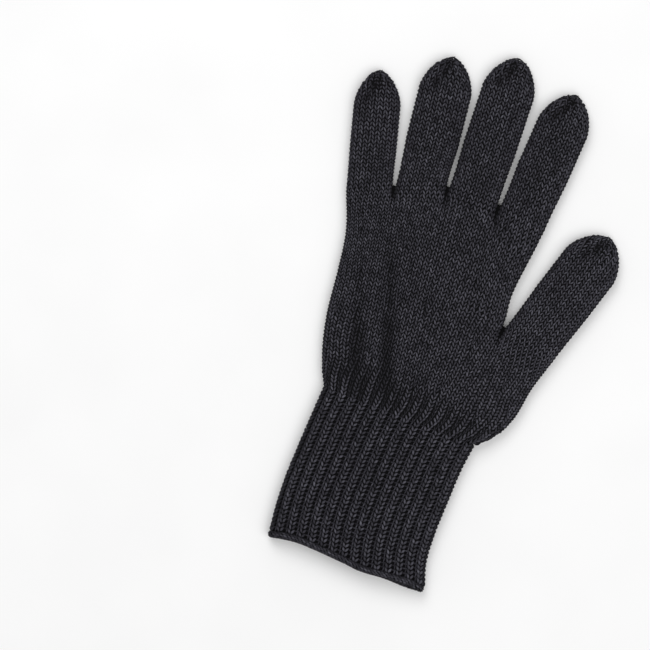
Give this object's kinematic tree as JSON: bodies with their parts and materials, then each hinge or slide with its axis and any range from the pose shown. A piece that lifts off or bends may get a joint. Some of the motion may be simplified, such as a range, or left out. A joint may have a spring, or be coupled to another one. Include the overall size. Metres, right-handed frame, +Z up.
{
  "type": "knitted glove liner",
  "caption": "Dark charcoal knitted glove liner lying flat, with separate fingers and thumb, a ribbed wrist cuff and a rolled hem.",
  "frame": {"origin": "on the surface that the glove lies on, below the middle of its bounding box", "axes": "+Y from the cuff to the fingertips, +X to the thumb side, +Z up from the surface through the lying glove"},
  "size_m": [0.1424, 0.2516, 0.0125],
  "materials": {
    "stockinette": "plain knitted wool-like yarn, dark charcoal",
    "ribbing": "rib knitted from the same yarn",
    "hem_roll": "rolled edge of the same yarn"
  },
  "bodies": {
    "root": {"palm": "stockinette", "little_finger": "stockinette", "ring_finger": "stockinette", "middle_finger": "stockinette", "index_finger": "stockinette", "thumb": "stockinette", "rib_cuff": "ribbing", "rolled_hem": "hem_roll"}
  },
  "joints": []
}
